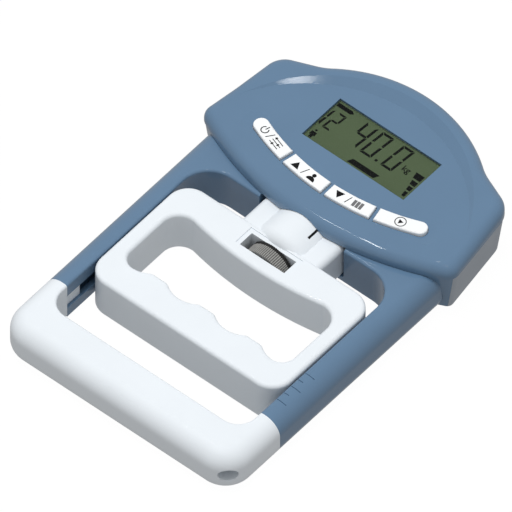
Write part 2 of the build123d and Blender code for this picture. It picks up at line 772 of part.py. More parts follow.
with BuildPart() as buzzer:
    with BuildSketch(Plane.XY.offset(pcb_z[0])):
        with Locations(buzzer_point):
            Circle(buzzer_can[0])
    extrude(amount=-buzzer_can[1])
    with BuildSketch(Plane.XY.offset(pcb_z[0] - buzzer_can[1])):
        with Locations(buzzer_point):
            Circle(buzzer_vent[0])
    extrude(amount=buzzer_vent[1], mode=Mode.SUBTRACT)
save(buzzer, "buzzer")

with BuildPart() as tact_switches:
    with BuildSketch(Plane.XY.offset(pcb_z[1])):
        with Locations(*key_points):
            Rectangle(switch_width, switch_width)
    extrude(amount=switch_top - pcb_z[1])
    with BuildSketch(Plane.XY.offset(pcb_z[1] + switch_floor_t)):
        with Locations(*key_points):
            Circle(switch_bore_r)
    extrude(amount=switch_top - pcb_z[1], mode=Mode.SUBTRACT)
save(tact_switches, "tact_switches")

# ---- keys, each with the plunger of its switch -----------------------------------------------
key_flange = 0.7
flange_z = (21.9, 22.85)
plunger_foot_z = 19.45
plunger_r = 1.1
key_stem_r = 1.8
key_edge = 0.6

for index, name in enumerate(key_names):
    middle = key_points[index]
    with BuildPart() as key:
        with BuildSketch(Plane.XY.offset(flange_z[0])):
            add(key_outline(index))
        extrude(amount=key_top - flange_z[0])
        fillet(key.faces().sort_by(Axis.Z)[-1].edges(), key_edge)
        with BuildSketch(Plane.XY.offset(flange_z[0])):
            add(key_outline(index, key_flange))
        extrude(amount=flange_z[1] - flange_z[0])
        with BuildSketch(Plane.XY.offset(key_foot_z)):
            with Locations(middle):
                Circle(key_stem_r)
        extrude(amount=flange_z[0] - key_foot_z)
    save(key, name)
    with BuildPart() as plunger:
        with BuildSketch(Plane.XY.offset(plunger_foot_z)):
            with Locations(middle):
                Circle(plunger_r)
        extrude(amount=key_foot_z - plunger_foot_z)
    save(plunger, name.replace("key", "switch_plunger"))

# ---- load cell, its bracket and fixings ------------------------------------------------------
cell_mid_y = sum(cell_y) / 2
cell_corner_r = 1.0
cell_slot = (28.0, 1.4)
cell_slot_shift = (4.0, 3.8)
cell_bore_len = 4.4
gauge_hole_x = 6.0
gauge_hole_r = 2.3
gauge_link = (12.0, 1.2)
gauge_x = 11.5
gauge_size = (4.0, 3.0)
gauge_t = 0.15

with BuildPart() as load_cell:
    with BuildSketch(Plane.XY.offset(axis_z - cell_size[2] / 2)):
        with Locations((0, cell_mid_y)):
            RectangleRounded(cell_size[0], cell_size[1], cell_corner_r)
    extrude(amount=cell_size[2])
    # two slots from opposite sides leave an S-shaped spring beam, with gauge holes between them
    with BuildSketch(Plane.XY.offset(axis_z - cell_size[2] / 2)):
        for side in (-1, 1):
            with Locations((side * cell_slot_shift[0], cell_mid_y + side * cell_slot_shift[1])):
                Rectangle(*cell_slot)
        with Locations((-gauge_hole_x, cell_mid_y), (gauge_hole_x, cell_mid_y)):
            Circle(gauge_hole_r)
        with Locations((0, cell_mid_y)):
            Rectangle(*gauge_link)
    extrude(amount=cell_size[2], mode=Mode.SUBTRACT)
    with BuildSketch(Plane.XZ.offset(-cell_y[0])):
        with Locations((0, axis_z)):
            Circle(screw_r + run_clear)
    extrude(amount=-cell_bore_len, mode=Mode.SUBTRACT)
    with BuildSketch(Plane.XZ.offset(-cell_y[1])):
        with Locations((0, axis_z)):
            Circle(screw_r + thread_clear)
    extrude(amount=cell_bore_len, mode=Mode.SUBTRACT)
save(load_cell, "load_cell")

with BuildPart() as strain_gauges:
    for side in (-1, 1):
        gauge_z = axis_z + side * cell_size[2] / 2
        with BuildSketch(Plane.XY.offset(gauge_z)):
            with Locations((gauge_x, cell_mid_y), (-gauge_x, cell_mid_y)):
                Rectangle(*gauge_size)
        extrude(amount=side * gauge_t)
save(strain_gauges, "strain_gauges")

bracket_half_x = 34.0
bracket_front_y = 28.0
bracket_notch = (41.6, 10.8)  # room for the neck, width and twice the depth
bracket_base_t = 2.0
bracket_top_z = 16.6
bolt_clear = 0.1
bolt_head = (4.1, 2.0)  # corner radius, thickness
bolt_grip = 4.0

with BuildPart() as load_cell_bracket:
    with BuildSketch(Plane.XY.offset(floor_t)):
        with Locations((0, (bracket_front_y + cell_y[1] + bracket_t) / 2)):
            Rectangle(2 * bracket_half_x, cell_y[1] + bracket_t - bracket_front_y)
        with Locations((0, bracket_front_y)):
            Rectangle(*bracket_notch, mode=Mode.SUBTRACT)
        with Locations(*bracket_screw_points):
            Circle(bracket_screw_shank[0] + thread_clear, mode=Mode.SUBTRACT)
    extrude(amount=bracket_base_t)
    with BuildSketch(Plane.XZ.offset(-cell_y[1])):
        with Locations((0, (floor_t + bracket_top_z) / 2)):
            Rectangle(cell_size[0], bracket_top_z - floor_t)
        with Locations((0, axis_z)):
            Circle(screw_r + bolt_clear, mode=Mode.SUBTRACT)
    extrude(amount=-bracket_t)
save(load_cell_bracket, "load_cell_bracket")

with BuildPart() as bracket_screws:
    studs(bracket_screw_points, bracket_screw_z, *bracket_screw_head)
    studs(bracket_screw_points, bracket_screw_z, *bracket_screw_shank)
    cross_recess(bracket_screw_points, bracket_screw_z, *bracket_screw_recess)
save(bracket_screws, "bracket_screws")

with BuildPart() as load_cell_bolt:
    with BuildSketch(Plane.XZ.offset(-cell_y[1] - bracket_t)):
        with Locations((0, axis_z)):
            RegularPolygon(bolt_head[0], 6)
    extrude(amount=-bolt_head[1])
    with BuildSketch(Plane.XZ.offset(-cell_y[1] - bracket_t)):
        with Locations((0, axis_z)):
            Circle(screw_r)
    extrude(amount=bracket_t + bolt_grip)
save(load_cell_bolt, "load_cell_bolt")

# ---- coupling nut: threaded sleeve on the load cell's front end ------------------------------
screw_chamfer = 0.4
nut_wall = 1.2
nut_stud_len = 4.0

with BuildPart() as coupling_nut:
    with BuildSketch(Plane.XZ.offset(-nut_y[0])):
        with Locations((0, axis_z)):
            Circle(nut_r)
    extrude(amount=nut_y[0] - nut_y[1])
    chamfer(coupling_nut.faces().sort_by(Axis.Y)[0].edges(), screw_chamfer)
    with BuildSketch(Plane.XZ.offset(-nut_y[0])):
        with Locations((0, axis_z)):
            Circle(screw_r + run_clear)
    extrude(amount=nut_y[0] - nut_y[1] + nut_wall, mode=Mode.SUBTRACT)
    with BuildSketch(Plane.XZ.offset(-nut_y[1])):
        with Locations((0, axis_z)):
            Circle(screw_r)
    extrude(amount=-nut_stud_len)
save(coupling_nut, "coupling_nut")

# ---- finger handle: body with neck and bulge, bottom plate -----------------------------------
bulge_front_y = 2.6
bulge_nose_round = 6.0
bulge_sink = 2.0  # overlap of the bulge with the neck
mouth_recess = (13.2, -5.75, 3.7, 0.45)  # half width, front y, rear y, depth
sight_slit = (8.0, 13.0, 0.9)  # x, front y, width
sight_slit_z = 19.6
handle_screw_head = (2.0, 1.0)
handle_screw_shank = (1.0, 10.0)
handle_screw_recess = (2.2, 0.5, 0.5)
handle_screw_z = 0.6
handle_screw_hole_len = 12.0
handle_counterbore = (2.1, 1.2)
nut_bore_r = 4.5
bore_front_y = 4.2
journal_end_gap = 0.3
rib = (50.7, 7.0, 12.0)  # outer x, lower z, upper z
rib_y = (-44.0, -6.0)
rib_sink = 1.0
plate_inset = 1.6
plate_clear = 0.15
plate_gap = 0.1
bar_wall = 2.4
bar_hollow_len = 74.0
rear_hollow = (23.0, 8.4)
rear_hollow_point = (26.2, -1.6)
neck_root = 3.0  # overlap of the neck with the rear bar
neck_top_round = 3.0
neck_foot_round = 1.0

with BuildPart() as handle_body:
    with BuildSketch(Plane.XY.offset(handle_z)):
        add(handle_outline())
        add(finger_opening(), mode=Mode.SUBTRACT)
    extrude(amount=handle_top - handle_z)
    fillet(handle_body.faces().sort_by(Axis.Z)[-1].edges(), handle_edge)
    # recess for the bottom plate, and hollows in the finger bar and the rear bar
    with BuildSketch(Plane.XY.offset(handle_z)):
        add(handle_outline(plate_inset))
        add(finger_opening(plate_inset), mode=Mode.SUBTRACT)
    extrude(amount=cover_plate_t + plate_gap, mode=Mode.SUBTRACT)
    with BuildSketch(Plane.XY.offset(handle_z)):
        with Locations((0, (handle_front_y + finger_valley_y) / 2)):
            Rectangle(bar_hollow_len, finger_valley_y - handle_front_y - 2 * bar_wall)
        with Locations(*[(side * rear_hollow_point[0], rear_hollow_point[1]) for side in (-1, 1)]):
            Rectangle(*rear_hollow)
    extrude(amount=handle_top - handle_z - bar_wall, mode=Mode.SUBTRACT)
    # neck that runs into the head, lower at its rear end
    with BuildSketch(Plane.XZ.offset(-handle_rear_y + neck_root)) as neck_section:
        with Locations((0, (neck_z + neck_flat_z) / 2)):
            Rectangle(2 * neck_half_x, neck_flat_z - neck_z)
        fillet(neck_section.vertices().group_by(Axis.Y)[-1], neck_top_round)
        fillet(neck_section.vertices().group_by(Axis.Y)[0], neck_foot_round)
    extrude(amount=-(neck_step_y - handle_rear_y + neck_root))
    with BuildSketch(Plane.XZ.offset(-neck_step_y)):
        with Locations((0, (neck_tail_z + neck_low_z) / 2)):
            Rectangle(2 * neck_half_x, neck_low_z - neck_tail_z)
    extrude(amount=-(neck_rear_y - neck_step_y))
    # shallow recess round the wheel's mouth
    with BuildSketch(Plane.XY.offset(handle_top - mouth_recess[3])):
        with Locations((0, (mouth_recess[1] + mouth_recess[2]) / 2)):
            Rectangle(2 * mouth_recess[0], mouth_recess[2] - mouth_recess[1])
    extrude(amount=2 * mouth_recess[3], mode=Mode.SUBTRACT)
    # round bulge over the screw, with a domed nose
    with BuildPart() as bulge:
        with BuildSketch(Plane.YZ) as bulge_side:
            with Locations(((bulge_front_y + neck_step_y) / 2, bulge_centre_z + bulge_r / 2)):
                Rectangle(neck_step_y - bulge_front_y, bulge_r)
            nose = bulge_side.vertices().group_by(Axis.Y)[-1].sort_by(Axis.X)[0]
            fillet(nose, bulge_nose_round)
        revolve(axis=Axis((0, 0, bulge_centre_z), (0, 1, 0)))
        with Locations((0, 0, neck_flat_z - bulge_sink)):
            Box(
                4 * bulge_r, 4 * neck_step_y, bulge_r,
                align=(Align.CENTER, Align.CENTER, Align.MIN), mode=Mode.INTERSECT,
            )
    # guide ribs that run in the arm channels
    for side in (-1, 1):
        with BuildSketch(Plane.XY.offset(rib[1])):
            with Locations((side * (rib[0] + handle_half_x - rib_sink) / 2, sum(rib_y) / 2)):
                Rectangle(rib[0] - handle_half_x + rib_sink, rib_y[1] - rib_y[0])
        extrude(amount=rib[2] - rib[1])
    # wheel pocket
    pocket_mid = (pocket[1] + pocket[2]) / 2
    pocket_depth = pocket[2] - pocket[1]
    with BuildSketch(Plane.XY):
        with Locations((0, pocket_mid)):
            Rectangle(2 * pocket[0], pocket_depth)
    extrude(amount=handle_top + 1, mode=Mode.SUBTRACT)
    # bearing of the screw's front journal, bearing behind the wheel, bore for the nut
    with BuildSketch(Plane.XZ.offset(-pocket[1])):
        with Locations((0, axis_z)):
            Circle(screw_r + run_clear)
    extrude(amount=pocket[1] - screw_y[0] + journal_end_gap, mode=Mode.SUBTRACT)
    with BuildSketch(Plane.XZ.offset(-pocket[2])):
        with Locations((0, axis_z)):
            Circle(screw_r + run_clear)
    extrude(amount=-(bore_front_y - pocket[2] + 1), mode=Mode.SUBTRACT)
    with BuildSketch(Plane.XZ.offset(-bore_front_y)):
        with Locations((0, axis_z)):
            Circle(nut_bore_r)
    extrude(amount=-(neck_rear_y - bore_front_y + 1), mode=Mode.SUBTRACT)
    # sighting slit beside the bulge
    with BuildSketch(Plane.XY.offset(sight_slit_z)):
        with Locations((sight_slit[0], (sight_slit[1] + neck_step_y) / 2)):
            Rectangle(sight_slit[2], neck_step_y - sight_slit[1])
    extrude(amount=bulge_r, mode=Mode.SUBTRACT)
    handle_hole_r = handle_screw_shank[0] + thread_clear
    studs(handle_screw_points, handle_z, handle_hole_r, handle_screw_hole_len, Mode.SUBTRACT)
save(handle_body, "handle_body")

with BuildPart() as handle_plate:
    with BuildSketch(Plane.XY.offset(handle_z)):
        add(handle_outline(plate_inset + plate_clear))
        add(finger_opening(plate_inset + plate_clear), mode=Mode.SUBTRACT)
        with Locations((0, pocket_mid)):
            Rectangle(2 * pocket[0], pocket_depth, mode=Mode.SUBTRACT)
    extrude(amount=cover_plate_t)
    plate_hole_r = handle_screw_shank[0] + screw_clear
    studs(handle_screw_points, handle_z, plate_hole_r, 2 * cover_plate_t, Mode.SUBTRACT)
    studs(handle_screw_points, handle_z, *handle_counterbore, Mode.SUBTRACT)
save(handle_plate, "handle_plate")

with BuildPart() as handle_screws:
    studs(handle_screw_points, handle_screw_z, *handle_screw_head)
    studs(handle_screw_points, handle_screw_z, *handle_screw_shank)
    cross_recess(handle_screw_points, handle_screw_z, *handle_screw_recess)
save(handle_screws, "handle_screws")

washer_r = 4.6
washer_gap = 0.05
with BuildPart() as thrust_washer:
    with BuildSketch(Plane.XZ.offset(-pocket[2])):
        with Locations((0, axis_z)):
            Circle(washer_r)
            Circle(screw_r + run_clear, mode=Mode.SUBTRACT)
    extrude(amount=pocket[2] - wheel_y[1] - washer_gap)
save(thrust_washer, "thrust_washer")

# ---- adjusting wheel, its screw and the pin that locks them together --------------------------
pin_r = 0.75
pin_len = 9.6
pin_y = sum(wheel_y) / 2
dish_r = (5.4, 8.8)
dish_depth = 0.8
wheel_fit = 0.01

with BuildPart() as adjusting_wheel:
    with BuildSketch(Plane.XZ.offset(-wheel_y[0])):
        with Locations((0, axis_z)):
            Circle(wheel_r)
            with PolarLocations(wheel_r, wheel_teeth):
                Circle(wheel_groove_r, mode=Mode.SUBTRACT)
            Circle(screw_r + wheel_fit, mode=Mode.SUBTRACT)
    extrude(amount=wheel_y[0] - wheel_y[1])
    for face_y, direction in ((wheel_y[0], -1), (wheel_y[1], 1)):
        with BuildSketch(Plane.XZ.offset(-face_y)):
            with Locations((0, axis_z)):
                Circle(dish_r[1])
                Circle(dish_r[0], mode=Mode.SUBTRACT)
        extrude(amount=direction * dish_depth, mode=Mode.SUBTRACT)
    with BuildSketch(Plane.YZ):
        with Locations((pin_y, axis_z)):
            Circle(pin_r)
    extrude(amount=pin_len / 2, both=True, mode=Mode.SUBTRACT)
save(adjusting_wheel, "adjusting_wheel")

with BuildPart() as adjusting_screw:
    with BuildSketch(Plane.XZ.offset(-screw_y[0])):
        with Locations((0, axis_z)):
            Circle(screw_r)
    extrude(amount=screw_y[0] - screw_y[1])
    chamfer(adjusting_screw.edges(), screw_chamfer)
    with BuildSketch(Plane.YZ):
        with Locations((pin_y, axis_z)):
            Circle(pin_r)
    extrude(amount=screw_r + 1, both=True, mode=Mode.SUBTRACT)
save(adjusting_screw, "adjusting_screw")

with BuildPart() as wheel_pin:
    with BuildSketch(Plane.YZ):
        with Locations((pin_y, axis_z)):
            Circle(pin_r)
    extrude(amount=pin_len / 2, both=True)
save(wheel_pin, "wheel_pin")
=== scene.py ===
"""Looks of the hand dynamometer: materials for every CAD node, the printed symbols on the keys,
the segments of the display, and the studio around it. Metres, in the frame of the CAD model."""

import json
import math

import bmesh
import bpy
from mathutils import Matrix, Vector


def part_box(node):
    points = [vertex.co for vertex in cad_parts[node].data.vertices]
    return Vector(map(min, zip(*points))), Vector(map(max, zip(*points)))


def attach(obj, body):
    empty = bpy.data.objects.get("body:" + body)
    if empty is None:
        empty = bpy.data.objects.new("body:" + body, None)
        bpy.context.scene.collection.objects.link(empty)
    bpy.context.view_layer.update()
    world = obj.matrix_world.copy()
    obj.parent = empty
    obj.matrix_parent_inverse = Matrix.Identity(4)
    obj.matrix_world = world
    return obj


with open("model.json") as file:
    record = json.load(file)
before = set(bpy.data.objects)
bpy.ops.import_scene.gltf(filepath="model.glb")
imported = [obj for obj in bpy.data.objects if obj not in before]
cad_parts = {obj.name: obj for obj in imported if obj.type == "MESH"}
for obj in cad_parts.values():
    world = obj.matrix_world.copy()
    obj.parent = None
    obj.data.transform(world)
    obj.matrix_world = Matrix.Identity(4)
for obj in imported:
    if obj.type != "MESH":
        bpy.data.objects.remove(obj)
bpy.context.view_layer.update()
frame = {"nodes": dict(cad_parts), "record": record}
nodes = frame["nodes"]
MM = 0.001

# ---- colours, linear -----------------------------------------------------------------------
BLUE = (0.112, 0.200, 0.314)
WHITE = (0.79, 0.835, 0.875)
GREY = (0.335, 0.375, 0.425)
KEY_WHITE = (0.90, 0.92, 0.93)
PRINT_BLACK = (0.006, 0.006, 0.007)
LCD_GREEN = (0.084, 0.118, 0.064)
LCD_INK = (0.006, 0.007, 0.007)
WHEEL_GREY = (0.34, 0.34, 0.325)
DARK_PLASTIC = (0.012, 0.012, 0.013)

# ---- the wheel's knurl ---------------------------------------------------------------------
WHEEL_TEETH = 74
WHEEL_SHADOW_LINE = 1.4 * MM  # width of the painted shadow line at the wheel's rear edge, standing in for the shaded gap behind the wheel
SHADOW_LINE_BLUR = 0.1 * MM

# ---- plastic's grain -----------------------------------------------------------------------
CLOUD_SCALE = 45  # noise scales, per metre
GLOSS_SCALE = 120
GRAIN_SCALE = 7000
GRAIN_DEPTH = 0.002 * MM
GLOSS_SPREAD = 0.03
COAT_ROUGHNESS = 0.05

# ---- battery sleeve ------------------------------------------------------------------------
SLEEVE_BAND_X = 16.5 * MM  # where the silver bands begin, from the middle of the cells
SLEEVE_BAND_BLUR = 0.2 * MM


# ---- material building ---------------------------------------------------------------------
class Tree:
    """Node tree of one material, with the few kinds of node that this scene uses."""

    def __init__(self, name):
        self.material = bpy.data.materials.new(name)
        self.material.use_nodes = True
        self.nodes = self.material.node_tree.nodes
        self.links = self.material.node_tree.links
        self.shader = self.nodes["Principled BSDF"]
        self.place = self.nodes.new("ShaderNodeTexCoord").outputs["Object"]

    def link(self, source, target):
        self.links.new(source, target)

    def along(self, axis):
        """The place's measure along one axis, in metres."""
        split = self.nodes.new("ShaderNodeSeparateXYZ")
        self.link(self.place, split.inputs["Vector"])
        return split.outputs[axis]

    def scaled(self, factors):
        node = self.nodes.new("ShaderNodeMapping")
        node.inputs["Scale"].default_value = factors
        self.link(self.place, node.inputs["Vector"])
        return node.outputs["Vector"]

    def noise(self, scale, detail, rough=0.5, place=None):
        node = self.nodes.new("ShaderNodeTexNoise")
        node.inputs["Scale"].default_value = scale
        node.inputs["Detail"].default_value = detail
        node.inputs["Roughness"].default_value = rough
        self.link(place or self.place, node.inputs["Vector"])
        return node.outputs["Fac"]

    def ranged(self, source, low, high, start=0.3, end=0.7):
        node = self.nodes.new("ShaderNodeMapRange")
        node.inputs["From Min"].default_value = start
        node.inputs["From Max"].default_value = end
        node.inputs["To Min"].default_value = low
        node.inputs["To Max"].default_value = high
        self.link(source, node.inputs["Value"])
        return node.outputs["Result"]

    def blend(self, factor, one, two):
        node = self.nodes.new("ShaderNodeMix")
        node.data_type = "RGBA"
        self.link(factor, node.inputs["Factor"])
        for socket, value in ((node.inputs["A"], one), (node.inputs["B"], two)):
            if isinstance(value, bpy.types.NodeSocket):
                self.link(value, socket)
            else:
                socket.default_value = (*value, 1.0)
        return node.outputs["Result"]

    def math(self, operation, one, two):
        node = self.nodes.new("ShaderNodeMath")
        node.operation = operation
        for socket, value in zip(node.inputs, (one, two)):
            if isinstance(value, bpy.types.NodeSocket):
                self.link(value, socket)
            else:
                socket.default_value = value
        return node.outputs["Value"]

    def bump(self, height, distance, strength):
        node = self.nodes.new("ShaderNodeBump")
        node.inputs["Strength"].default_value = strength
        node.inputs["Distance"].default_value = distance
        self.link(height, node.inputs["Height"])
        return node.outputs["Normal"]

    def set(self, **values):
        for name, value in values.items():
            socket = self.shader.inputs[name.replace("_", " ").title().replace("Ior", "IOR")]
            if isinstance(value, bpy.types.NodeSocket):
                self.link(value, socket)
            elif isinstance(value, tuple):
                socket.default_value = (*value, 1.0)
            else:
                socket.default_value = value


def tinted(colour, share):
    """A colour made lighter or darker by a share."""
    return tuple(min(max(c * (1 + share), 0), 1) for c in colour)


def plastic(name, colour, rough, grain=GRAIN_SCALE, depth=GRAIN_DEPTH, shade=0.05, coat=0.0, shine=0.5):
    """Injection-moulded plastic: faint flow clouds in the colour, fine grain, uneven gloss."""
    t = Tree(name)
    clouds = t.ranged(t.noise(CLOUD_SCALE, 3), 0, 1)
    gloss = t.noise(GLOSS_SCALE, 2)
    t.set(
        base_color=t.blend(clouds, tinted(colour, -shade), tinted(colour, shade)),
        roughness=t.ranged(gloss, rough - GLOSS_SPREAD, rough + GLOSS_SPREAD),
        normal=t.bump(t.noise(grain, 3, 0.6), depth, 0.5),
        specular_ior_level=shine,
        coat_weight=coat,
        coat_roughness=COAT_ROUGHNESS,
    )
    return t.material


def metal(name, colour, rough, stretch=(400, 6000, 6000), depth=0.006 * MM):
    """Metal with a fine directional finish."""
    t = Tree(name)
    lines = t.noise(1.0, 2, 0.6, t.scaled(stretch))
    t.set(
        base_color=t.blend(t.ranged(lines, 0, 1), tinted(colour, -0.1), tinted(colour, 0.08)),
        roughness=t.ranged(lines, rough - 0.07, rough + 0.1),
        normal=t.bump(lines, depth, 0.6),
        metallic=1.0,
    )
    return t.material


def banded(name, one, two, axis, pitch, share, rough=0.5):
    """Two colours in turn along an axis, for layered rubber and foil grids."""
    t = Tree(name)
    wave = t.math("PINGPONG", t.along(axis), pitch / 2)
    edge = pitch / 2 * share
    stripes = t.ranged(wave, 0, 1, edge * 0.95, edge * 1.05)
    t.set(
        base_color=t.blend(stripes, one, two),
        roughness=t.ranged(t.noise(600, 2), rough - 0.06, rough + 0.06),
    )
    return t.material


def knurled(name):
    """Grey wheel plastic, with painted shade darkening its knurl grooves and a painted shadow line at the rear
    edge for the shaded gap behind the wheel.
    """
    t = Tree(name)
    low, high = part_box("adjusting_wheel")
    half_tooth = math.pi / WHEEL_TEETH
    shadow_line_start = high.y - WHEEL_SHADOW_LINE
    # painted shadow: mask of the near-black line at the rear edge, where the gap behind the wheel lies in
    # shade
    rear = t.ranged(t.along("Y"), 0, 1, shadow_line_start - SHADOW_LINE_BLUR, shadow_line_start)
    lift = t.math("SUBTRACT", t.along("Z"), (low.z + high.z) / 2)
    turn = t.math("ARCTAN2", t.along("X"), lift)
    tooth = t.math("PINGPONG", turn, half_tooth)
    # painted shade: a mask for the knurl's grooves between the teeth, which exist in colour only
    groove_shade = t.ranged(tooth, 0, 1, 0.25 * half_tooth, 0.75 * half_tooth)
    mottle = t.ranged(t.noise(700, 3), 0, 1)
    body = t.blend(mottle, tinted(WHEEL_GREY, -0.12), tinted(WHEEL_GREY, 0.12))
    # the grooves are painted 65 % darker than the wheel's grey, as painted shade
    groove_shaded = t.blend(groove_shade, body, tinted(WHEEL_GREY, -0.65))
    t.set(
        # the rear edge is painted near-black, as painted shadow of the gap behind the wheel
        base_color=t.blend(rear, groove_shaded, (0.012, 0.012, 0.012)),
        roughness=t.ranged(t.noise(500, 3), 0.42, 0.6),
        normal=t.bump(t.noise(2500, 2), 0.01 * MM, 0.5),
    )
    return t.material


def display_ground():
    """Reflector behind the liquid crystal: grey-green with a fine mottle and broad, slightly lighter patches.
    """
    t = Tree("display_ground")
    mottle = t.ranged(t.noise(2600, 2, 0.6), 0, 1)
    broad = t.ranged(t.noise(60, 2), 0, 1)
    inner = t.blend(mottle, tinted(LCD_GREEN, -0.07), tinted(LCD_GREEN, 0.07))
    t.set(
        base_color=t.blend(broad, inner, tinted(LCD_GREEN, 0.06)),
        roughness=t.ranged(mottle, 0.5, 0.6),
        normal=t.bump(t.noise(3000, 1), 0.004 * MM, 0.4),
        specular_ior_level=0.05,
    )
    return t.material


def window():
    """Clear acrylic sheet with a very light haze."""
    t = Tree("window_clear")
    haze = t.ranged(t.noise(300, 2), 0, 1)
    t.set(
        base_color=t.blend(haze, (0.03, 0.035, 0.03), (0.04, 0.045, 0.04)),
        roughness=t.ranged(t.noise(200, 2), 0.1, 0.16),
        alpha=0.03,
    )
    return t.material


def board():
    """Circuit board: solder mask with tracks showing through as a lighter pattern."""
    t = Tree("board_green")
    tracks = t.nodes.new("ShaderNodeTexBrick")
    tracks.inputs["Scale"].default_value = 260
    tracks.inputs["Mortar Size"].default_value = 0.035
    t.link(t.place, tracks.inputs["Vector"])
    t.set(
        base_color=t.blend(tracks.outputs["Fac"], (0.012, 0.12, 0.045), (0.03, 0.24, 0.09)),
        roughness=t.ranged(t.noise(500, 2), 0.3, 0.42),
        normal=t.bump(tracks.outputs["Fac"], 0.03 * MM, 0.5),
    )
    return t.material


def sleeve():
    """Battery sleeve: plain dark film, with a silver band at each end."""
    t = Tree("battery_sleeve")
    from_middle = t.math("ABSOLUTE", t.along("X"), 0)
    band = t.ranged(from_middle, 0, 1, SLEEVE_BAND_X, SLEEVE_BAND_X + SLEEVE_BAND_BLUR)
    t.set(
        base_color=t.blend(band, (0.03, 0.035, 0.05), (0.45, 0.46, 0.47)),
        roughness=t.ranged(t.noise(300, 2), 0.22, 0.32),
    )
    return t.material


MATERIALS = {
    "blue_plastic": plastic("blue_plastic", BLUE, 0.42, shade=0.02, coat=1.0, shine=0.1),
    "white_plastic": plastic("white_plastic", WHITE, 0.42, shade=0.012, coat=0.15, shine=0.3),
    "grey_plastic": plastic("grey_plastic", GREY, 0.40, shade=0.03),
    "key_plastic": plastic("key_plastic", KEY_WHITE, 0.26, grain=1500, depth=0.006 * MM, shade=0.01),
    "window_clear": window(),
    "display_green": display_ground(),
    "holder_plastic": plastic("holder_plastic", DARK_PLASTIC, 0.5),
    "contact_rubber": banded("contact_rubber", (0.02, 0.02, 0.022), (0.25, 0.25, 0.26), "X", 0.4 * MM, 0.5),
    "board_green": board(),
    "chip_black": plastic("chip_black", DARK_PLASTIC, 0.45, grain=3000),
    "component_tan": plastic("component_tan", (0.33, 0.24, 0.15), 0.5, grain=4000),
    "switch_steel": metal("switch_steel", (0.62, 0.63, 0.65), 0.28),
    "plunger_black": plastic("plunger_black", (0.015, 0.015, 0.015), 0.45),
    "cell_aluminium": metal("cell_aluminium", (0.72, 0.73, 0.74), 0.32, (6000, 300, 6000)),
    "gauge_foil": banded("gauge_foil", (0.42, 0.20, 0.05), (0.75, 0.6, 0.4), "Y", 0.5 * MM, 0.6, 0.35),
    "bracket_steel": metal("bracket_steel", (0.55, 0.56, 0.57), 0.30),
    "screw_steel": metal("screw_steel", (0.46, 0.47, 0.48), 0.34, (1500, 1500, 1500)),
    "battery_sleeve": sleeve(),
    "wheel_grey": knurled("wheel_grey"),
    "washer_nylon": plastic("washer_nylon", (0.72, 0.70, 0.62), 0.4),
}
for part in frame["record"]["subparts"]:
    piece = nodes[part["node"]]
    piece.data.materials.clear()
    piece.data.materials.append(MATERIALS[part["material_slot"]])

ink = plastic("print_black", PRINT_BLACK, 0.5, shine=0.2)
grey_ink = plastic("print_grey", (0.16, 0.16, 0.165), 0.5, shine=0.2)
segment_ink = plastic("segment_black", LCD_INK, 0.6, shine=0.05)


# ---- flat printed shapes -------------------------------------------------------------------
def prisms(name, outlines, low, high, material, body, place=None):
    """One mesh of thin prisms, each outline a list of points in millimetres in its own plane."""
    mesh = bpy.data.meshes.new(name)
    shape = bmesh.new()
    for outline in outlines:
        lower = [shape.verts.new((x * MM, y * MM, low)) for x, y in outline]
        upper = [shape.verts.new((x * MM, y * MM, high)) for x, y in outline]
        shape.faces.new(upper)
        shape.faces.new(lower[::-1])
        for k in range(len(outline)):
            n = (k + 1) % len(outline)
            shape.faces.new((lower[k], lower[n], upper[n], upper[k]))
    if place is not None:
        bmesh.ops.transform(shape, matrix=place, verts=shape.verts)
    bmesh.ops.recalc_face_normals(shape, faces=shape.faces)
    shape.to_mesh(mesh)
    shape.free()
    mesh.materials.append(material)
    piece = bpy.data.objects.new(name, mesh)
    bpy.context.scene.collection.objects.link(piece)
    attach(piece, body)
    return piece


def box_shape(x0, y0, x1, y1, slant=0.0):
    """A rectangle, or a parallelogram whose upper side is shifted by slant."""
    return [(x0, y0), (x1, y0), (x1 + slant, y1), (x0 + slant, y1)]


def round_shape(cx, cy, radius, count=40):
    """A filled circle."""
    turns = [2 * math.pi * k / count for k in range(count)]
    return [(cx + radius * math.cos(a), cy + radius * math.sin(a)) for a in turns]


def arc_shape(cx, cy, inner, outer, start, end, count=36):
    """Part of a ring, as one closed outline. Angles in degrees."""
    turns = [math.radians(start + (end - start) * k / count) for k in range(count + 1)]
    out = [(cx + outer * math.cos(a), cy + outer * math.sin(a)) for a in turns]
    back = [(cx + inner * math.cos(a), cy + inner * math.sin(a)) for a in reversed(turns)]
    return out + back


# ---- display: seven-segment digits, unit, symbols and bar graph, in millimetres ------------
SEGMENTS = {
    "0": "abcdef", "1": "bc", "2": "abdeg", "3": "abcdg", "4": "bcfg", "5": "acdfg",
    "6": "acdefg", "7": "abc", "8": "abcdefg", "9": "abcdfg",
}
SLANT = 0.085
SEGMENT_GAP = 0.18

FIGURE_FOOT = 57.4
READING_HEIGHT = 13.4
READING_STROKE = 1.1
READING = (("4", -11.45, 5.6), ("0", -3.85, 5.8), ("0", 6.7, 5.7))  # figure, left side, width
POINT = box_shape(3.8, 57.5, 4.9, 58.6, 0.09)
USER_HEIGHT = 9.8
USER_STROKE = 0.9
USER_NUMBER = (("1", -27.75, 3.3), ("2", -22.9, 4.0))

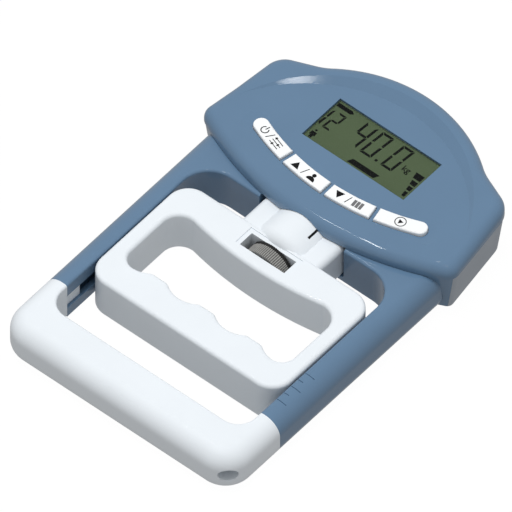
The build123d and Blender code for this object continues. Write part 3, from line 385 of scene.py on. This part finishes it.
ARROW_TAG = [(-25.2, 70.95), (-25.2, 69.05), (-18.3, 69.05), (-17.1, 70.0), (-18.3, 70.95)]
SLANTED_TAG = box_shape(-4.2, 50.4, 9.2, 52.9, 1.35)
PERSON_HEAD = round_shape(-23.1, 54.55, 0.5, 20)
PERSON_BODY = [
    (-24.3, 53.6), (-21.9, 53.6), (-21.75, 51.7), (-22.25, 51.5), (-22.4, 52.6), (-22.45, 50.1),
    (-23.0, 50.1), (-23.1, 51.3), (-23.2, 50.1), (-23.75, 50.1), (-23.8, 52.6), (-23.95, 51.5), (-24.45, 51.7),
]

BAR_RIGHT = 24.45
BARS = (  # left end above, left end below, foot, top
    (20.3, 20.9, 60.6, 63.6),
    (21.45, 21.95, 57.35, 59.65),
    (22.25, 22.6, 54.4, 56.6),
    (22.75, 23.1, 51.0, 53.6),
)

UNIT_PLACE = (16.4, 62.0)
UNIT_SIZE = 4.0
LETTER_WEIGHT = 0.012  # how much thicker than the font's own strokes, as a share of the size


def digit(figure, x, y, width, height, stroke):
    """Outlines of one slanted seven-segment figure, its lower left corner at x, y."""
    half = stroke / 2
    mid = height / 2
    corner = SEGMENT_GAP + stroke
    start, end = SEGMENT_GAP, width - SEGMENT_GAP
    inner_start, inner_end = corner, width - corner
    tip = SEGMENT_GAP + half * 0.4
    shoulder = SEGMENT_GAP + stroke * 0.9
    cut = SEGMENT_GAP + half * 0.9

    def upright(outer, inner):
        """The upper and the lower bar on one side."""
        top, foot = height - SEGMENT_GAP, SEGMENT_GAP
        upper = [(outer, top), (inner, height - corner), (inner, mid + cut), (outer, mid + SEGMENT_GAP)]
        lower = [(outer, foot), (inner, corner), (inner, mid - cut), (outer, mid - SEGMENT_GAP)]
        return upper, lower

    bars = {
        "a": [(start, height), (end, height), (inner_end, height - stroke), (inner_start, height - stroke)],
        "d": [(inner_start, stroke), (inner_end, stroke), (end, 0), (start, 0)],
        "g": [
            (tip, mid), (shoulder, mid + half), (width - shoulder, mid + half),
            (width - tip, mid), (width - shoulder, mid - half), (shoulder, mid - half),
        ],
    }
    bars["f"], bars["e"] = upright(0, stroke)
    bars["b"], bars["c"] = upright(width, width - stroke)
    shapes = [bars[k] for k in SEGMENTS[figure]]
    return [[(x + px + SLANT * py, y + py) for px, py in shape] for shape in shapes]


PANEL_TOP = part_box("lcd_panel")[1].z
INK_LOW = PANEL_TOP + 0.01 * MM
INK_HIGH = PANEL_TOP + 0.05 * MM


def display_ink(name, outlines):
    """Dark segments on the display."""
    prisms(name, outlines, INK_LOW, INK_HIGH, segment_ink, "frame")


segments = []
for figure, left, width in READING:
    segments += digit(figure, left, FIGURE_FOOT, width, READING_HEIGHT, READING_STROKE)
segments.append(POINT)
for figure, left, width in USER_NUMBER:
    segments += digit(figure, left, FIGURE_FOOT, width, USER_HEIGHT, USER_STROKE)
display_ink("display_figures", segments)
display_ink("display_symbols", [ARROW_TAG, SLANTED_TAG, PERSON_HEAD, PERSON_BODY])
display_ink(
    "display_bar_graph",
    [[(foot_x, y0), (BAR_RIGHT, y0), (BAR_RIGHT, y1), (top_x, y1)] for top_x, foot_x, y0, y1 in BARS],
)


def lettering(name, text, size, place, material, body, low, high):
    """Generic lettering, as a thin mesh made from Blender's own font."""
    curve = bpy.data.curves.new(name + "_outline", "FONT")
    curve.body = text
    curve.size = size
    curve.extrude = (high - low) / 2
    curve.offset = size * LETTER_WEIGHT
    curve.align_x = "CENTER"
    curve.align_y = "CENTER"
    holder = bpy.data.objects.new(name + "_outline", curve)
    bpy.context.scene.collection.objects.link(holder)
    bpy.context.view_layer.update()
    mesh = bpy.data.meshes.new_from_object(holder.evaluated_get(bpy.context.evaluated_depsgraph_get()))
    bpy.data.objects.remove(holder)
    bpy.data.curves.remove(curve)
    mesh.transform(place @ Matrix.Translation((0, 0, (low + high) / 2)))
    mesh.materials.clear()
    mesh.materials.append(material)
    piece = bpy.data.objects.new(name, mesh)
    bpy.context.scene.collection.objects.link(piece)
    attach(piece, body)
    return piece


unit_place = Matrix.Translation((UNIT_PLACE[0] * MM, UNIT_PLACE[1] * MM, 0))
lettering(
    "display_unit", "kg", UNIT_SIZE * MM, unit_place, segment_ink, "frame", INK_LOW, INK_HIGH
)

# ---- symbols on the keys, in millimetres from the middle of each key -----------------------
KEY_CENTRE_Y = 140.2  # centre of the arc that the keys lie on
KEY_MID_R = 106.3
KEY_STEP = 12.0  # degrees
FIRST_KEY = -1.5 * KEY_STEP
LINE = 0.17  # half the width of a slider's line
KNOB = (0.32, 0.6)  # half the width and height of its knob


def key_place(index):
    """Frame of one key's top face: x along the row of keys, y away from the hand."""
    angle = math.radians(FIRST_KEY + index * KEY_STEP)
    spot = Vector((KEY_MID_R * math.sin(angle), KEY_CENTRE_Y - KEY_MID_R * math.cos(angle), 0)) * MM
    return Matrix.Translation(spot) @ Matrix.Rotation(angle, 4, "Z")


def triangle(cx, cy, width, height):
    """A triangle pointing up, or down if the height is negative."""
    return [(cx - width / 2, cy - height / 2), (cx + width / 2, cy - height / 2), (cx, cy + height / 2)]


SLASH = box_shape(-1.75, -1.9, -1.35, 1.9, 1.3)
power = [
    arc_shape(-4.6, -0.15, 1.35, 1.8, 125, 415),
    box_shape(-4.82, 0.1, -4.38, 2.2),
    SLASH,
]
for level, knob in ((1.4, 1.6), (0.0, 4.6), (-1.4, 2.6)):
    power.append(box_shape(0.8, level - LINE, 6.2, level + LINE))
    power.append(box_shape(knob - KNOB[0], level - KNOB[1], knob + KNOB[0], level + KNOB[1]))
up = [triangle(-5.4, 0, 4.0, 3.3), SLASH]
down = [triangle(-5.4, 0, 4.0, -3.3), SLASH]
user = [round_shape(3.4, 1.0, 0.9, 28), arc_shape(3.4, -1.9, 0.0, 2.0, 0, 180)]
start = [[(-0.75, -1.15), (1.25, 0), (-0.75, 1.15)], arc_shape(0, 0, 2.05, 2.4, 0, 359.9, 60)]
pages = [box_shape(left, -1.7, left + 1.3, 1.6) for left in (1.3, 2.9, 4.5)]
KEY_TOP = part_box("key_up")[1].z
PRINT_LOW = KEY_TOP - 0.01 * MM
PRINT_HIGH = KEY_TOP + 0.03 * MM


def key_print(name, shapes, material, key, index):
    """Print on one key's top face."""
    prisms(name, shapes, PRINT_LOW, PRINT_HIGH, material, key, key_place(index))


key_print("symbol_power", power, ink, "power_key", 0)
key_print("symbol_up", up + user, ink, "up_key", 1)
key_print("symbol_down", down, ink, "down_key", 2)
key_print("symbol_start", start, ink, "start_key", 3)
key_print("symbol_pages", pages, grey_ink, "down_key", 2)

# ---- black insert in the sighting slit of the handle's bulge: painted shadow for the slot's dark inside ---
SLIT_SHADOW = [(7.57, 19.62), (8.43, 19.62), (8.43, 20.66), (7.57, 21.12)]  # x and z, in millimetres
SLIT_SHADOW_REAR, SLIT_SHADOW_FRONT = -20.45 * MM, -13.02 * MM  # along the upright outline's normal, -Y
upright_plane = Matrix.Rotation(math.radians(90), 4, "X")
# a near-black prism in the slit, standing in for the shade deep inside the slot, not a printed mark
prisms("slit_shadow_insert", [SLIT_SHADOW], SLIT_SHADOW_REAR, SLIT_SHADOW_FRONT, ink, "handle", upright_plane)

# ---- studio --------------------------------------------------------------------------------
FLOOR_HALF = 4.0
FLOOR_Z = -0.2 * MM
FLOOR_GLOW = 0.98
WORLD_STRENGTH = (0.42, 0.50)  # from below and from above


def pale_floor():
    """A plain floor that shines white by itself and sends no light onto the object."""
    corners = [(x * FLOOR_HALF, y * FLOOR_HALF, FLOOR_Z) for x, y in ((-1, -1), (1, -1), (1, 1), (-1, 1))]
    mesh = bpy.data.meshes.new("floor")
    mesh.from_pydata(corners, [], [(0, 1, 2, 3)])
    floor = bpy.data.objects.new("floor", mesh)
    bpy.context.scene.collection.objects.link(floor)
    t = Tree("floor_pale")
    cloud = t.ranged(t.noise(3, 2), 0, 1)
    t.set(
        base_color=t.blend(cloud, (0.02, 0.02, 0.02), (0.03, 0.03, 0.03)),
        roughness=0.9,
        specular_ior_level=0.0,
        emission_color=(1.0, 1.0, 1.0),
        emission_strength=FLOOR_GLOW,
    )
    mesh.materials.append(t.material)
    floor.visible_diffuse = False
    floor.visible_glossy = False


def area_light(name, place, width, depth, power):
    """A soft box at place that faces the object."""
    data = bpy.data.lights.new(name, "AREA")
    data.shape = "RECTANGLE"
    data.size = width
    data.size_y = depth
    data.energy = power
    lamp = bpy.data.objects.new(name, data)
    bpy.context.scene.collection.objects.link(lamp)
    lamp.location = place
    lamp.rotation_euler = Vector(place).to_track_quat("Z", "Y").to_euler()
    return lamp


def soft_world():
    """Even white light from all round, slightly stronger from above."""
    world = bpy.data.worlds.new("studio")
    bpy.context.scene.world = world
    world.use_nodes = True
    sky = world.node_tree
    place = sky.nodes.new("ShaderNodeTexCoord")
    split = sky.nodes.new("ShaderNodeSeparateXYZ")
    rise = sky.nodes.new("ShaderNodeMapRange")
    sky.links.new(place.outputs["Generated"], split.inputs["Vector"])
    sky.links.new(split.outputs["Z"], rise.inputs["Value"])
    rise.inputs["From Min"].default_value = -0.5
    rise.inputs["From Max"].default_value = 0.5
    rise.inputs["To Min"].default_value = WORLD_STRENGTH[0]
    rise.inputs["To Max"].default_value = WORLD_STRENGTH[1]
    sky.links.new(rise.outputs["Result"], sky.nodes["Background"].inputs["Strength"])
    sky.nodes["Background"].inputs["Color"].default_value = (1, 1, 1, 1)


pale_floor()
overhead = area_light("overhead", (-0.15, 0.1, 3.0), 1.0, 1.0, 49)
overhead.visible_glossy = False
area_light("gloss_rear", (0.22, -0.23, 1.6), 0.45, 0.03, 0.7)
area_light("gloss_front", (-0.41, -0.16, 1.6), 0.55, 0.035, 1.4)
area_light("spark_left", (-0.35, 0.15, 0.9), 0.06, 0.06, 0.15)
soft_world()

# ---- camera --------------------------------------------------------------------------------
VIEW_FROM = Vector((0.4101, -0.4844, 0.7727))
VIEW_AT = Vector((-0.0129, 0.0062, 0.0))
VIEW_WIDTH = 0.199
VIEW_DISTANCE = 0.8
camera_data = bpy.data.cameras.new("camera")
camera_data.type = "ORTHO"
camera_data.ortho_scale = VIEW_WIDTH
camera = bpy.data.objects.new("camera", camera_data)
bpy.context.scene.collection.objects.link(camera)
camera.location = VIEW_AT + VIEW_FROM.normalized() * VIEW_DISTANCE
camera.rotation_euler = VIEW_FROM.to_track_quat("Z", "Y").to_euler()
bpy.context.scene.camera = camera
bpy.context.scene.view_settings.view_transform = "Standard"
